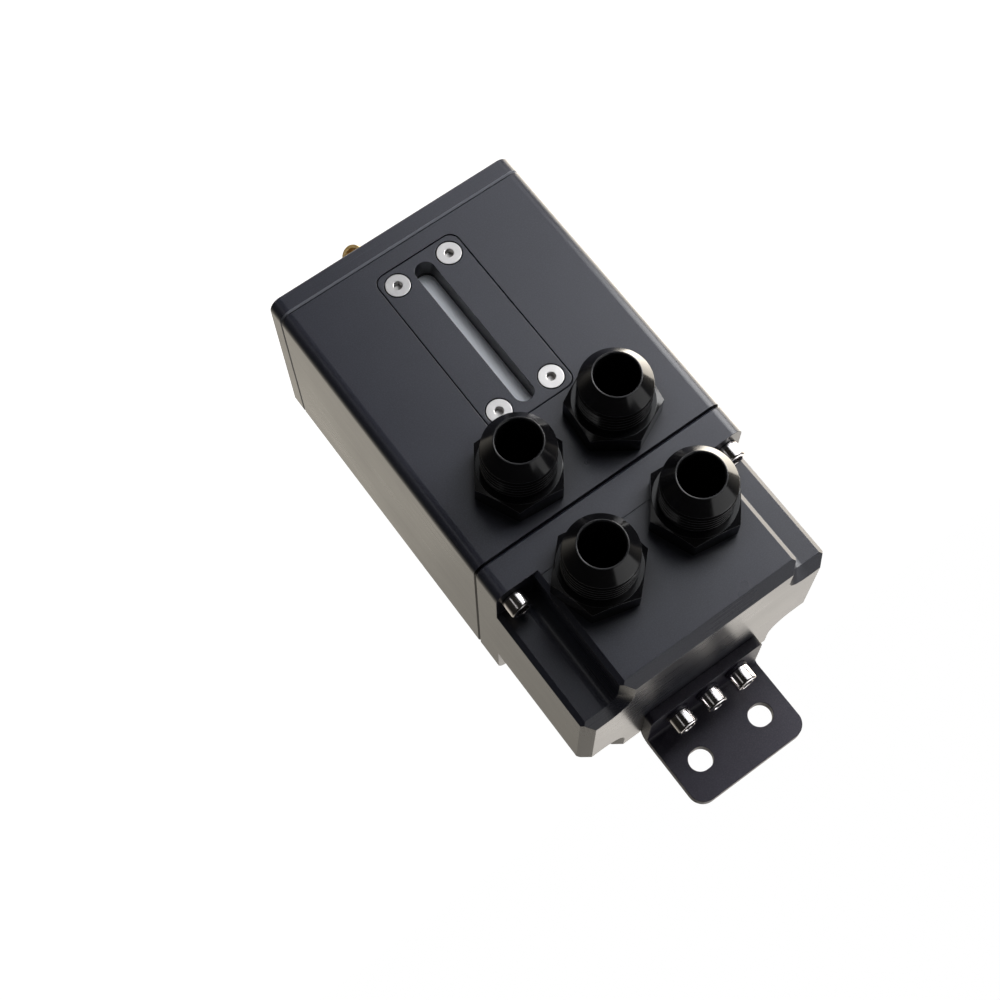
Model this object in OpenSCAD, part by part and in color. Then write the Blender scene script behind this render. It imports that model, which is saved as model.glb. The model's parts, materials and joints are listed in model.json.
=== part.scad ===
// Oil catch can for an engine bay. A square-section can stands along +Z, with its four hose
// fittings and its sight glass on the front, which faces -Y. A bolted lid closes the top and
// carries a bent bracket. A bottom plate carries the drain cock.
// The origin is midway between the bracket's two slots, on the face that meets the wall.

/* [Can] */
// Width of the can, left to right
can_w = 89; // [86:1:92]
// Depth of the can, front to back
can_d = 68.5; // [67:0.5:72]
// Radius of the can's upright corners
corner_r = 4; // [3:0.5:5]
// Thickness of the bottom plate
plate_h = 6.3; // [6:0.1:8]
// Height of the body between the bottom plate and the lid
body_h = 100; // [96:1:120]
// Bevel on both edges of each joint
seam = 0.6; // [0.4:0.1:0.8]

/* [Chamber] */
// Thickness of the front wall, which takes the fittings' threads
front_wall = 14; // [13.5:0.5:15]
// Thickness of the side and back walls
side_wall = 8; // [7.5:0.5:9]
// Radius of the chamber's upright corners
chamber_r = 16; // [15:0.5:18]

/* [Lid] */
// Height of the lid
lid_h = 53.4; // [52:0.2:58]
// Height of the ledges, under the lid's corner notches
ledge_h = 10.2; // [9.5:0.1:10.8]
// Width of a corner notch
notch_w = 13; // [12.5:0.1:13.2]
// Depth of a corner notch, front to back
notch_d = 15; // [14.5:0.1:15.5]
// Radius of a notch's inner corner
notch_r = 5; // [4:0.5:6]
// Bevel on a notch's two outer edges
notch_bevel = 1.6; // [1:0.1:2]
// Chamfer round the top of the lid
top_bevel = 3.3; // [2.5:0.1:4]

/* [Ports and fittings] */
// Distance of a fitting from the middle of the can
port_x = 17; // [16:0.1:17.2]
// Distance of the two fittings on the body below the top of the body
port_low = 16.4; // [15.3:0.1:16.8]
// Height of the two fittings on the lid, above the bottom of the lid
port_high = 21.4; // [21:0.1:23]
// Radius of the fittings' threads
thread_r = 11.1; // [10.9:0.1:11.2]
// Radius of the bore through a fitting
port_bore_r = 6.65; // [6:0.05:7]
// Hexagon across its flats
hex_flats = 25.4; // [25.4:0.1:26]
// Height of the hexagon
hex_h = 8.2; // [7.5:0.1:8.5]
// Distance from the can's face to the tip of a fitting
tip_h = 24.6; // [23:0.1:27]

/* [Sight glass] */
// Width of the cover plate
sight_w = 29.8; // [29:0.2:31]
// Distance from the bottom plate to the cover plate
sight_foot = 6.1; // [5:0.1:8]
// Distance from the cover plate to the top of the body
sight_head = 30.5; // [29.9:0.1:32]
// Thickness of the cover plate
sight_t = 6.5; // [6:0.1:6.8]
// Thickness of the seal between the cover plate and the window
sight_front_seal_t = 1.6; // [1.2:0.1:1.8]
// Width of the slot in the cover plate
slit_w = 6.6; // [6:0.1:7]
// Distance from each end of the slot to the cover plate's edge
slit_end = 3.4; // [3.2:0.1:5]
// Distance from the cover's screws to its sides
sight_screw_side = 5.4; // [5:0.1:5.5]
// Distance from the cover's screws to its ends
sight_screw_end = 5.75; // [5.2:0.05:6.2]

/* [Bracket] */
// Thickness of the bracket's plate
bracket_t = 3.4; // [3:0.1:5]
// Width of the bracket
bracket_w = 43; // [40:1:50]
// Depth of the leg that lies on the lid
leg_d = 22.5; // [20:0.5:24]
// Height of the upright leg above the lid
upright_h = 29.8; // [28:0.2:36]
// Distance between the two slots
slot_pitch = 23.7; // [20:0.1:26]
// Width of a slot
slot_w = 7.4; // [6.5:0.1:8]
// Length of a slot
slot_len = 8.2; // [8.1:0.1:10]
// Height of the slots above the lid
slot_h = 17.9; // [16:0.1:19]

/* [Drain cock] */
// Hexagon across its flats
drain_flats = 14; // [13:0.5:15]
// Radius of the pipe thread
drain_thread_r = 6.65; // [6.3:0.05:6.9]
// Travel of the stem from shut to fully open
drain_travel = 4.7625; // [4:0.0125:4.7625]
// Length of each channel at the ends of the T-handle
handle_end = 8.5; // [7:0.5:9]
// Half the width of the T-handle's channel
handle_r = 3.85; // [3.5:0.05:4.2]
// Turn of the T-handle from straight to the front
handle_turn = 35; // [-60:1:60]

/* [Hidden] */
$fn = 48;

// Reach of a cut past the surface that it opens
over = 1;
// Clearance of a screw in its tapped hole
tap_gap = 0.05;
half_w = can_w / 2;
half_d = can_d / 2;
body_top = plate_h + body_h;
ledge_z = body_top + ledge_h;
lid_top = body_top + lid_h;
slot_z = lid_top + slot_h;
port_low_z = body_top - port_low;
port_high_z = body_top + port_high;

// Chamber in the body, and the face seals round it
chamber_w = can_w - 2 * side_wall;
chamber_d = can_d - front_wall - side_wall;
chamber_y = (front_wall - side_wall) / 2;
rebate = 1.5;
seal_in = 2.3;
seal_out = 4.3;
seal_h = 1.8;

// Chamber in the lid: a wide part for the mesh pad, and above the pad's screen a narrower part
pad_wall = 2.5;
pad_in = 1;
pad_w = 2 * (half_w - notch_w - pad_wall);
pad_d = chamber_d - 2 * pad_in;
pad_h = 10;
pad_r = 8;
screen_t = 1.2;
screen_lip_w = 2;
screen_lip_d = 1;
pad_top = body_top + pad_h + screen_t;
lid_room_w = pad_w - 2 * screen_lip_w;
lid_room_d = pad_d - 2 * screen_lip_d;
lid_roof = 12;
lid_room_top = lid_top - lid_roof;

// Corner screws of the lid and the bottom plate
corner_x = half_w - 5.7;
corner_y = half_d - 7.4;
screw_r = 2.5;
screw_hole_r = 2.75;
flat_head_r = 4.6;
flat_mouth_r = 4.8;
cap_r = 3.7;
cap_h = 5.3;

// Length of each screw in its tapped hole, and the room left under its end
lid_bite = 19.8;
bottom_bite = 11.7;
bracket_bite = 9.5;
sight_bite = 6.1;
tap_end = 2.2;
bracket_tap_end = 1;
sight_tap_end = 0.4;

// Sight glass: window and its two seals behind the cover
sight_h = body_h - sight_foot - sight_head;
sight_z = plate_h + sight_foot + sight_h / 2;
slit_len = sight_h - 2 * slit_end;
sight_screw_dx = sight_w - 2 * sight_screw_side;
sight_screw_dz = sight_h - 2 * sight_screw_end;
window_w = 12.6;
window_len = sight_h - 1.4;
window_t = 2.5;
window_y = sight_t + sight_front_seal_t - half_d;
back_seal_t = 1.5;
back_seal_y = window_y + window_t;
sight_gap = 0.15;
sight_r = 3.5;
sight_screw_r = 2;

// Fitting, measured from the can's face: the thread inside, then the outer end
port_thread_len = 12.5;
port_thread_gap = 0.4;
port_drill = front_wall + 4;
port_relief = 2.6;
port_neck_r = 9.8;
seal_r = 1.15;
port_mouth_r = 12.3;
tip_r = 7.25;
cone_h = (thread_r - 0.2 - tip_r) / tan(37);
cone_z = tip_h - cone_h;
neck_h = 2;
hex_r = hex_flats / 2 / cos(30);
hex_round = 1.15;
// Place of each fitting and the turn of its hexagon: x, z, degrees
ports = [
    [-port_x, port_low_z, 25.3],
    [port_x, port_low_z, 55],
    [-port_x, port_high_z, 51.4],
    [port_x, port_high_z, 45],
];

// Bracket
bend_in = 1.5;
bend_out = bend_in + bracket_t;
leg_y = half_d - leg_d;
bracket_screw_dx = 11.4;
bracket_screw_y = leg_y + 7;
washer_r = 3.95;
washer_t = 1.1;
bracket_head_z = lid_top + bracket_t + washer_t;
upright_r = 5;

// Drain cock, measured from the bottom plate's underside
drain_hex_gap = 1.8;
drain_hex_h = 5.1;
drain_hex_r = drain_flats / 2 / cos(30);
drain_thread_len = 10.3;
drain_top = drain_thread_len - drain_hex_gap;
drain_hex_z = -drain_hex_gap - drain_hex_h;
boss_r = 12;
boss_h = 2.1;
stem_r = 4.2;
stem_gap = 0.05;
stem_bore_r = 1.7;
ring_r = 1.2;
ring_groove_r = 3.05;
ring_z = drain_top + 0.15 + ring_r;
ring_side_gap = 0.15;
disc_r = 5.05;
disc_h = 2;
handle_wall = 1.1;
handle_depth = 5.3;
handle_gap = 0.3;
handle_web_z = drain_hex_z - drain_travel - handle_gap - handle_wall;
handle_in = drain_hex_r + 0.4;
handle_out = handle_in + handle_end;
strip_half_w = 3.2;
stem_tail_r = 2.6;
rivet_r = 4;
rivet_h = 1.3;

// Shifts the can so that the origin is the bracket's mounting point
module from_bracket() {
    translate([0, -half_d, -slot_z]) children();
}

// Rectangle with round corners, about its centre
module round_rect(w, d, r) {
    square([w - 2 * r, d], center = true);
    square([w, d - 2 * r], center = true);
    for (sx = [-1, 1], sy = [-1, 1])
        translate([sx * (w / 2 - r), sy * (d / 2 - r)]) circle(r = r);
}

// Slot with round ends, long way along y when tall is true
module round_slot(w, len, tall) {
    run = (len - w) / 2;
    square(tall ? [w, 2 * run] : [2 * run, w], center = true);
    for (s = [-1, 1])
        translate(tall ? [0, s * run] : [s * run, 0]) circle(r = w / 2);
}

// Extrudes an x-z outline along y
module along_y(y, len) {
    translate([0, y + len, 0]) rotate([90, 0, 0]) linear_extrude(len) children();
}

// Extrudes a y-z outline along x
module along_x(x, len) {
    translate([x, 0, 0]) rotate([90, 0, 90]) linear_extrude(len) children();
}

// Side view of a block with bevelled lower and upper edges
module bevel_outline(s, h, low, high) {
    a = s / 2;
    polygon([
        [low - a, 0], [a - low, 0], [a, low], [a, h - high],
        [a - high, h], [high - a, h], [-a, h - high], [-a, low],
    ]);
}

// Block with round upright corners and bevelled lower and upper edges
module bevel_block(w, d, h, r, low, high) {
    along_x(r - w / 2, w - 2 * r) bevel_outline(d, h, low, high);
    along_y(r - d / 2, d - 2 * r) bevel_outline(w, h, low, high);
    for (sx = [-1, 1], sy = [-1, 1])
        translate([sx * (w / 2 - r), sy * (d / 2 - r), 0])
            rotate_extrude()
                polygon([[0, 0], [r - low, 0], [r, low], [r, h - high], [r - high, h], [0, h]]);
}

// Upright room with round corners, grown by a margin on each side
module room(w, d, r, z, h, margin) {
    translate([0, chamber_y, z])
        linear_extrude(h) round_rect(w + 2 * margin, d + 2 * margin, r + margin);
}

// Flat face seal round the chamber, and the groove that holds it
module face_seal(z) {
    difference() {
        room(chamber_w, chamber_d, chamber_r, z, seal_h, seal_out);
        room(chamber_w, chamber_d, chamber_r, z - over, seal_h + 2 * over, seal_in);
    }
}

// Repeats a part at the four corner screws
module at_corners(z) {
    for (sx = [-1, 1], sy = [-1, 1])
        translate([sx * corner_x, sy * corner_y, z]) children();
}

// Repeats a part at the cover's four screws, its +Z turned to the front
module at_sight_screws() {
    for (sx = [-1, 1], sz = [-1, 1])
        translate([sx * sight_screw_dx / 2, -half_d, sight_z + sz * sight_screw_dz / 2])
            rotate([90, 0, 0]) children();
}

// Socket cap screw: the head stands on z = 0
module cap_screw(len) {
    bevel = 0.45;
    difference() {
        rotate_extrude()
            polygon([
                [0, -len], [screw_r - 0.4, -len], [screw_r, 0.4 - len], [screw_r, 0], [cap_r, 0],
                [cap_r, cap_h - bevel], [cap_r - bevel, cap_h], [0, cap_h],
            ]);
        translate([0, 0, cap_h - 2.6]) cylinder(h = 2.6 + over, r = 4 / 2 / cos(30), $fn = 6);
    }
}

// Countersunk screw: its head is flush with z = 0
module flat_screw(head_r, r, len, flats) {
    rim = 0.25;
    difference() {
        rotate_extrude()
            polygon([
                [0, -len], [r - 0.3, -len], [r, 0.3 - len], [r, r - head_r - rim],
                [head_r, -rim], [head_r, 0], [0, 0],
            ]);
        translate([0, 0, -1.8]) cylinder(h = 1.8 + over, r = flats / 2 / cos(30), $fn = 6);
    }
}

// Hole and countersink for a flat screw
module flat_hole(head_r, r, len) {
    rotate_extrude()
        polygon([[0, -len], [r, -len], [r, r - head_r - 0.25], [head_r, -0.25], [head_r, over], [0, over]]);
}

// Tapped port with a mouth for the fitting's seal, drilled through into the can
module port_cut(p) {
    tapped = port_thread_len + port_thread_gap;
    translate([p[0], -half_d, p[1]]) rotate([90, 0, 0]) {
        translate([0, 0, -tapped]) cylinder(h = tapped + over, r = thread_r + tap_gap);
        translate([0, 0, -port_relief]) cylinder(h = port_relief + over, r = port_mouth_r);
        translate([0, 0, -port_drill]) cylinder(h = port_drill, r = port_bore_r);
    }
}

// Body
module body() {
    color("#3f4247") from_bracket() difference() {
        translate([0, 0, plate_h]) bevel_block(can_w, can_d, body_h, corner_r, seam, seam);
        room(chamber_w, chamber_d, chamber_r, plate_h - over, body_h + 2 * over, 0);
        room(chamber_w, chamber_d, chamber_r, body_top - rebate, rebate + over, rebate);
        sight_recess();
        for (p = [ports[0], ports[1]]) port_cut(p);
        at_corners(body_top - lid_bite - tap_end)
            cylinder(h = lid_bite + tap_end + over, r = screw_r + tap_gap);
        at_corners(plate_h - over)
            cylinder(h = bottom_bite + tap_end + over, r = screw_r + tap_gap);
    }
}

// Stepped recess of the sight glass
module sight_recess() {
    floor_y = back_seal_y + back_seal_t;
    translate([0, 0, sight_z]) {
        along_y(-half_d - over, sight_t + over)
            round_rect(sight_w + 2 * sight_gap, sight_h + 2 * sight_gap, sight_r + sight_gap);
        along_y(-half_d, floor_y + half_d) round_slot(window_w, window_len, true);
        along_y(floor_y - over, front_wall) round_slot(slit_w, slit_len, true);
    }
    at_sight_screws() translate([0, 0, -sight_t - sight_bite - sight_tap_end])
        cylinder(h = sight_t + sight_bite + sight_tap_end, r = sight_screw_r + tap_gap);
}

// Bottom plate with a boss for the drain cock
module bottom_plate() {
    color("#44474c") from_bracket() difference() {
        union() {
            bevel_block(can_w, can_d, plate_h, corner_r, 0.4, seam);
            translate([0, 0, plate_h - over]) cylinder(h = boss_h + over, r = boss_r);
        }
        translate([0, 0, -over]) cylinder(h = plate_h + boss_h + 2 * over, r = drain_thread_r + tap_gap);
        face_seal(plate_h - seal_h);
        translate([0, 0, plate_h - seal_h]) groove_mouth();
        at_corners(0) rotate([180, 0, 0]) flat_hole(flat_mouth_r, screw_hole_r, plate_h + over);
    }
}

// Opens a seal groove past the face that it lies in
module groove_mouth() {
    difference() {
        room(chamber_w, chamber_d, chamber_r, 0, seal_h + over, seal_out);
        room(chamber_w, chamber_d, chamber_r, -over, seal_h + 3 * over, seal_in);
    }
}

// Face seal between the bottom plate and the body
module bottom_seal() {
    color("#151515") from_bracket() face_seal(plate_h - seal_h);
}

// Countersunk screws of the bottom plate
module bottom_screws() {
    color("#b9bbbd") from_bracket()
        at_corners(0) rotate([180, 0, 0]) flat_screw(flat_head_r, screw_r, plate_h + bottom_bite, 3);
}

// Plan of a corner notch: its inner corner is round and its two mouths are bevelled
module notch_plan() {
    x = half_w - notch_w;
    y = half_d - notch_d;
    translate([x + notch_r, y]) square([notch_w - notch_r + over, notch_d + over]);
    translate([x, y + notch_r]) square([notch_w + over, notch_d - notch_r + over]);
    translate([x + notch_r, y + notch_r]) circle(r = notch_r);
    polygon([[x, half_d - notch_bevel], [x - notch_bevel - over, half_d + over], [x, half_d + over]]);
    polygon([[half_w - notch_bevel, y], [half_w + over, y - notch_bevel - over], [half_w + over, y]]);
}

// Corner notch of the lid above its ledge, with the edges round its top chamfered
module corner_notch() {
    x = half_w - notch_w;
    y = half_d - notch_d;
    z1 = lid_top - top_bevel;
    cut = top_bevel + over;
    translate([0, 0, ledge_z]) linear_extrude(lid_top - ledge_z + over) notch_plan();
    along_y(y + notch_r, notch_d - notch_r + over) notch_chamfer(x, half_w, z1, cut);
    along_x(x + notch_r, notch_w - notch_r + over) notch_chamfer(y, half_d, z1, cut);
    translate([x + notch_r, y + notch_r, z1]) cylinder(h = cut, r1 = notch_r, r2 = notch_r + cut);
}

// Side view of the chamfer along a notch's wall
module notch_chamfer(wall, face, z1, cut) {
    polygon([[wall, z1], [wall - cut, z1 + cut], [face + over, z1 + cut], [face + over, z1]]);
}

// Chamfer along one straight upper edge, as a triangle in side view
module top_chamfer(half, s) {
    polygon([
        [s * (half + over), lid_top - top_bevel - over],
        [s * (half - top_bevel - over), lid_top + over],
        [s * (half + over), lid_top + over],
    ]);
}

// Lid
module lid() {
    color("#43464b") from_bracket() difference() {
        translate([0, 0, body_top]) bevel_block(can_w, can_d, lid_h, corner_r, seam, seam);
        for (mx = [0, 1], my = [0, 1]) mirror([mx, 0, 0]) mirror([0, my, 0]) corner_notch();
        for (s = [-1, 1]) {
            along_x(-half_w - over, can_w + 2 * over) top_chamfer(half_d, s);
            along_y(-half_d - over, can_d + 2 * over) top_chamfer(half_w, s);
        }
        face_seal(body_top);
        translate([0, 0, body_top - over]) groove_mouth();
        room(pad_w, pad_d, pad_r, body_top - over, pad_top - body_top + over, 0);
        room(lid_room_w, lid_room_d, pad_r - screen_lip_w, body_top, lid_room_top - body_top, 0);
        for (p = [ports[2], ports[3]]) port_cut(p);
        at_corners(body_top - over) cylinder(h = ledge_h + 2 * over, r = screw_hole_r);
        at_bracket_screws()
            translate([0, 0, lid_top - bracket_bite - bracket_tap_end - bracket_head_z])
                cylinder(h = bracket_bite + bracket_tap_end + over, r = screw_r + tap_gap);
        witness_line();
    }
}

// Shallow witness line across the lid's front, just above the ledges
module witness_line() {
    line_w = 0.25;
    line_d = 0.12;
    translate([-half_w, -half_d - over, ledge_z + 1.6]) cube([can_w, over + line_d, line_w]);
}

// Face seal between the body and the lid
module lid_seal() {
    color("#151515") from_bracket() face_seal(body_top);
}

// Socket cap screws on the lid's ledges
module lid_screws() {
    color("#c9cbcd") from_bracket() at_corners(ledge_z) cap_screw(ledge_h + lid_bite);
}

// Perforated plate in the body's rebate
module baffle_plate() {
    color("#a9adb0") from_bracket() difference() {
        room(chamber_w, chamber_d, chamber_r, body_top - rebate, rebate, rebate - 0.1);
        hole_grid(chamber_w, chamber_d, 2.6, body_top - rebate, rebate);
    }
}

// Grid of holes, as many as an area takes inside its margin
module hole_grid(w, d, r, z, h) {
    step = 9;
    margin = 6;
    cols = floor((w / 2 - margin) / step);
    rows = floor((d - 2 * margin) / step) / 2;
    for (i = [-cols:cols], j = [-rows:rows])
        translate([i * step, chamber_y + j * step, z - over])
            cylinder(h = h + 2 * over, r = r, $fn = 24);
}

// Knitted wire pad that the oil mist condenses on
module mesh_pad() {
    color("#9b9d9f") from_bracket() room(pad_w, pad_d, pad_r, body_top, pad_h, -0.2);
}

// Perforated screen over the pad, under the lid's shoulder
module pad_screen() {
    color("#b2b5b7") from_bracket() difference() {
        room(pad_w, pad_d, pad_r, body_top + pad_h, screen_t, -0.2);
        hole_grid(pad_w, pad_d, 3, body_top + pad_h, screen_t);
    }
}

// Cover plate of the sight glass, flush with the body's face
module sight_cover() {
    lip = 0.35;
    color("#3f4247") from_bracket() difference() {
        translate([0, sight_t - half_d, sight_z])
            rotate([90, 0, 0]) bevel_block(sight_w, sight_h, sight_t, sight_r, 0.2, lip);
        translate([0, 0, sight_z])
            along_y(-half_d - over, sight_t + 2 * over) round_slot(slit_w, slit_len, true);
        at_sight_screws() flat_hole(4.25, sight_screw_r + 0.2, sight_t + over);
    }
}

// Outline that the window and its seals share
module window_outline() {
    round_slot(window_w - 0.2, window_len - 0.2, true);
}

// Clear window behind the cover
module sight_window() {
    color("#c8d0d2", 0.5) from_bracket()
        translate([0, 0, sight_z]) along_y(window_y, window_t) window_outline();
}

// Flat seals in front of the window and behind it
module sight_seals() {
    color("#151515") from_bracket() translate([0, 0, sight_z]) {
        along_y(window_y - sight_front_seal_t, sight_front_seal_t) difference() {
            window_outline();
            round_slot(slit_w, slit_len, true);
        }
        along_y(back_seal_y, back_seal_t) difference() {
            window_outline();
            round_slot(slit_w + 1.2, slit_len + 1.2, true);
        }
    }
}

// Countersunk screws of the sight cover
module sight_screws() {
    color("#c4c6c8") from_bracket() at_sight_screws() flat_screw(4, sight_screw_r, sight_t + sight_bite, 2.5);
}

// Flared hose fitting with a straight thread into the can
module fitting(p) {
    color("#1b1c1e") from_bracket()
        translate([p[0], -half_d, p[1]]) rotate([90, 0, 0]) difference() {
            union() {
                rotate_extrude() fitting_outline();
                intersection() {
                    rotate([0, 0, p[2]]) cylinder(h = hex_h, r = hex_r, $fn = 6);
                    rotate_extrude() hex_outline();
                }
            }
            translate([0, 0, -port_thread_len - over])
                cylinder(h = port_thread_len + tip_h + 2 * over, r = port_bore_r);
        }
}

// Half section of a fitting without its hexagon, from the inner end to the flared tip
module fitting_outline() {
    neck_z = hex_h + neck_h;
    groove_z = cone_z - 1.2;
    polygon([
        [0, -port_thread_len], [thread_r - 0.9, -port_thread_len],
        [thread_r, 0.9 - port_thread_len], [thread_r, -port_relief],
        [port_neck_r, -port_relief], [port_neck_r, neck_z - 0.7],
        [thread_r - 0.3, neck_z], [thread_r, neck_z + 0.4], [thread_r, groove_z - 0.5],
        [thread_r - 0.7, groove_z], [thread_r - 0.7, groove_z + 0.5],
        [thread_r - 0.2, groove_z + 0.8], [thread_r - 0.2, cone_z],
        [tip_r, tip_h], [0, tip_h],
    ]);
}

// Half section of the cone that rounds off a hexagon's corners
module hex_outline() {
    edge = hex_flats / 2 - 0.3;
    polygon([
        [0, 0], [edge, 0], [hex_r + 0.3, 0.6], [hex_r + 0.3, hex_h - hex_round], [edge, hex_h], [0, hex_h],
    ]);
}

module fitting_lower_left() {
    fitting(ports[0]);
}

module fitting_lower_right() {
    fitting(ports[1]);
}

module fitting_upper_left() {
    fitting(ports[2]);
}

module fitting_upper_right() {
    fitting(ports[3]);
}

// Ring seals under the fittings' hexagons
module fitting_seals() {
    color("#101010") from_bracket()
        for (p = ports)
            translate([p[0], -half_d, p[1]]) rotate([90, 0, 0])
                translate([0, 0, -seal_r - 0.15])
                    rotate_extrude() translate([port_neck_r + seal_r, 0]) circle(r = seal_r);
}

// Bent bracket: a leg on the lid and an upright leg against the wall
module bracket() {
    color("#232326") from_bracket() difference() {
        intersection() {
            along_x(-bracket_w / 2, bracket_w) bracket_outline();
            along_y(leg_y - over, leg_d + 2 * over) bracket_front();
            translate([0, leg_y + leg_d, lid_top - over])
                linear_extrude(upright_h + 2 * over) round_rect(bracket_w, 2 * leg_d, 2);
        }
        for (s = [-1, 1])
            translate([s * slot_pitch / 2, 0, slot_z])
                along_y(half_d - bracket_t - over, bracket_t + 2 * over) round_slot(slot_w, slot_len, false);
        at_bracket_screws()
            translate([0, 0, -washer_t - bracket_t - over])
                cylinder(h = bracket_t + 2 * over, r = screw_hole_r);
    }
}

// Side view of the bracket, with its bend
module bracket_outline() {
    translate([leg_y, lid_top]) square([leg_d - bend_out, bracket_t]);
    translate([half_d - bracket_t, lid_top + bend_out]) square([bracket_t, upright_h - bend_out]);
    intersection() {
        translate([half_d - bend_out, lid_top + bend_out]) difference() {
            circle(r = bend_out);
            circle(r = bend_in);
        }
        translate([half_d - bend_out, lid_top]) square(bend_out);
    }
}

// Front view of the bracket, with the upright's free corners rounded
module bracket_front() {
    side = bracket_w / 2;
    top = lid_top + upright_h;
    translate([-side, lid_top - over]) square([bracket_w, upright_h + over - upright_r]);
    translate([upright_r - side, lid_top]) square([bracket_w - 2 * upright_r, upright_h]);
    for (s = [-1, 1])
        translate([s * (side - upright_r), top - upright_r]) circle(r = upright_r);
}

// Repeats a part at the bracket's three screws, with its z = 0 under their heads
module at_bracket_screws() {
    for (i = [-1:1])
        translate([i * bracket_screw_dx, bracket_screw_y, bracket_head_z]) children();
}

// Black washers under the heads of the bracket's screws
module bracket_washers() {
    color("#1d1d1f") from_bracket()
        at_bracket_screws()
            rotate_extrude() translate([screw_hole_r, -washer_t]) square([washer_r - screw_hole_r, washer_t]);
}

// Socket cap screws of the bracket
module bracket_screws() {
    color("#c9cbcd") from_bracket() at_bracket_screws() cap_screw(washer_t + bracket_t + bracket_bite);
}

// Drain cock's body: a hexagon and a pipe thread with a bore for the stem
module drain_body() {
    color("#c79a4b") from_bracket() difference() {
        union() {
            translate([0, 0, drain_hex_z]) intersection() {
                cylinder(h = drain_hex_h, r = drain_hex_r, $fn = 6);
                rotate_extrude()
                    polygon([
                        [0, 0], [drain_flats / 2 - 0.2, 0], [drain_flats / 2 + 1.4, 0.9],
                        [drain_flats / 2 + 1.4, drain_hex_h - 0.5],
                        [drain_flats / 2 + 0.2, drain_hex_h], [0, drain_hex_h],
                    ]);
            }
            rotate_extrude()
                polygon([
                    [0, -drain_hex_gap - over], [drain_thread_r - 0.7, -drain_hex_gap - over],
                    [drain_thread_r - 0.7, 0], [drain_thread_r, 0.3], [drain_thread_r, drain_top - 0.6],
                    [drain_thread_r - 0.6, drain_top], [0, drain_top],
                ]);
        }
        translate([0, 0, drain_hex_z - over])
            cylinder(h = drain_hex_h + drain_thread_len + 2 * over, r = stem_r + stem_gap);
    }
}

// Drain cock's hollow stem, with a cross hole, a ring groove and an end disc
module drain_stem() {
    low = handle_web_z - rivet_h;
    groove_low = ring_z - ring_r - ring_side_gap;
    groove_high = ring_z + ring_r + ring_side_gap;
    cross_r = 1.5;
    cross_z = drain_top - cross_r - 0.4;
    color("#cfa557") from_bracket() difference() {
        rotate_extrude()
            polygon([
                [0, low], [rivet_r - 0.6, low], [rivet_r, low + 0.5], [rivet_r, handle_web_z],
                [stem_tail_r, handle_web_z], [stem_tail_r, handle_web_z + handle_wall],
                [stem_r, handle_web_z + handle_wall], [stem_r, groove_low], [ring_groove_r, groove_low],
                [ring_groove_r, groove_high], [disc_r, groove_high],
                [disc_r, groove_high + disc_h], [0, groove_high + disc_h],
            ]);
        translate([0, 0, low - over]) cylinder(h = cross_z - low + over, r = stem_bore_r);
        translate([0, 0, cross_z]) rotate([0, 90, 0]) cylinder(h = 4 * stem_r, r = cross_r, center = true);
    }
}

// T-handle: a stamped channel at each end, with a flat strip between them that takes the rivet
module drain_handle() {
    color("#cda052") from_bracket()
        translate([0, 0, handle_web_z]) rotate([0, 0, handle_turn]) difference() {
            union() {
                intersection() {
                    along_y(-handle_out, 2 * handle_out) handle_section();
                    along_x(-2 * handle_r, 4 * handle_r) handle_side();
                }
                translate([-strip_half_w, -handle_in, 0])
                    cube([2 * strip_half_w, 2 * handle_in, handle_wall]);
            }
            translate([0, 0, -over]) cylinder(h = handle_wall + 2 * over, r = stem_tail_r);
        }
}

// Section of the handle's channel: an arch whose open side faces the can
module handle_section() {
    inner = handle_r - handle_wall;
    translate([0, handle_r]) difference() {
        union() {
            circle(r = handle_r);
            translate([-handle_r, 0]) square([2 * handle_r, handle_depth - handle_r]);
        }
        circle(r = inner);
        translate([-inner, 0]) square([2 * inner, handle_depth]);
        translate([-handle_r - over, handle_depth - handle_r]) square([2 * handle_r + 2 * over, handle_r]);
    }
}

// Side view of the handle's two ends, with the corners next to the can rounded
module handle_side() {
    r = 1.8;
    for (s = [-1, 1])
        translate([s * (handle_in + handle_end / 2), 0]) {
            translate([-handle_end / 2, -over]) square([handle_end, handle_depth - r + over]);
            translate([r - handle_end / 2, 0]) square([handle_end - 2 * r, handle_depth]);
            for (t = [-1, 1])
                translate([t * (handle_end / 2 - r), handle_depth - r]) circle(r = r);
        }
}

// Ring seal on the stem, which shuts against the inner end of the drain cock's body
module drain_seal() {
    color("#101010") from_bracket()
        translate([0, 0, ring_z])
            rotate_extrude() translate([ring_groove_r + stem_gap + ring_r, 0]) circle(r = ring_r);
}

body();
bottom_plate();
bottom_seal();
bottom_screws();
lid();
lid_seal();
lid_screws();
baffle_plate();
mesh_pad();
pad_screen();
sight_cover();
sight_window();
sight_seals();
sight_screws();
fitting_lower_left();
fitting_lower_right();
fitting_upper_left();
fitting_upper_right();
fitting_seals();
bracket();
bracket_washers();
bracket_screws();
drain_body();
drain_stem();
drain_handle();
drain_seal();
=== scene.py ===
import json
import math
from collections import namedtuple

import bmesh
import bpy
from mathutils import Matrix, Vector


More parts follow.
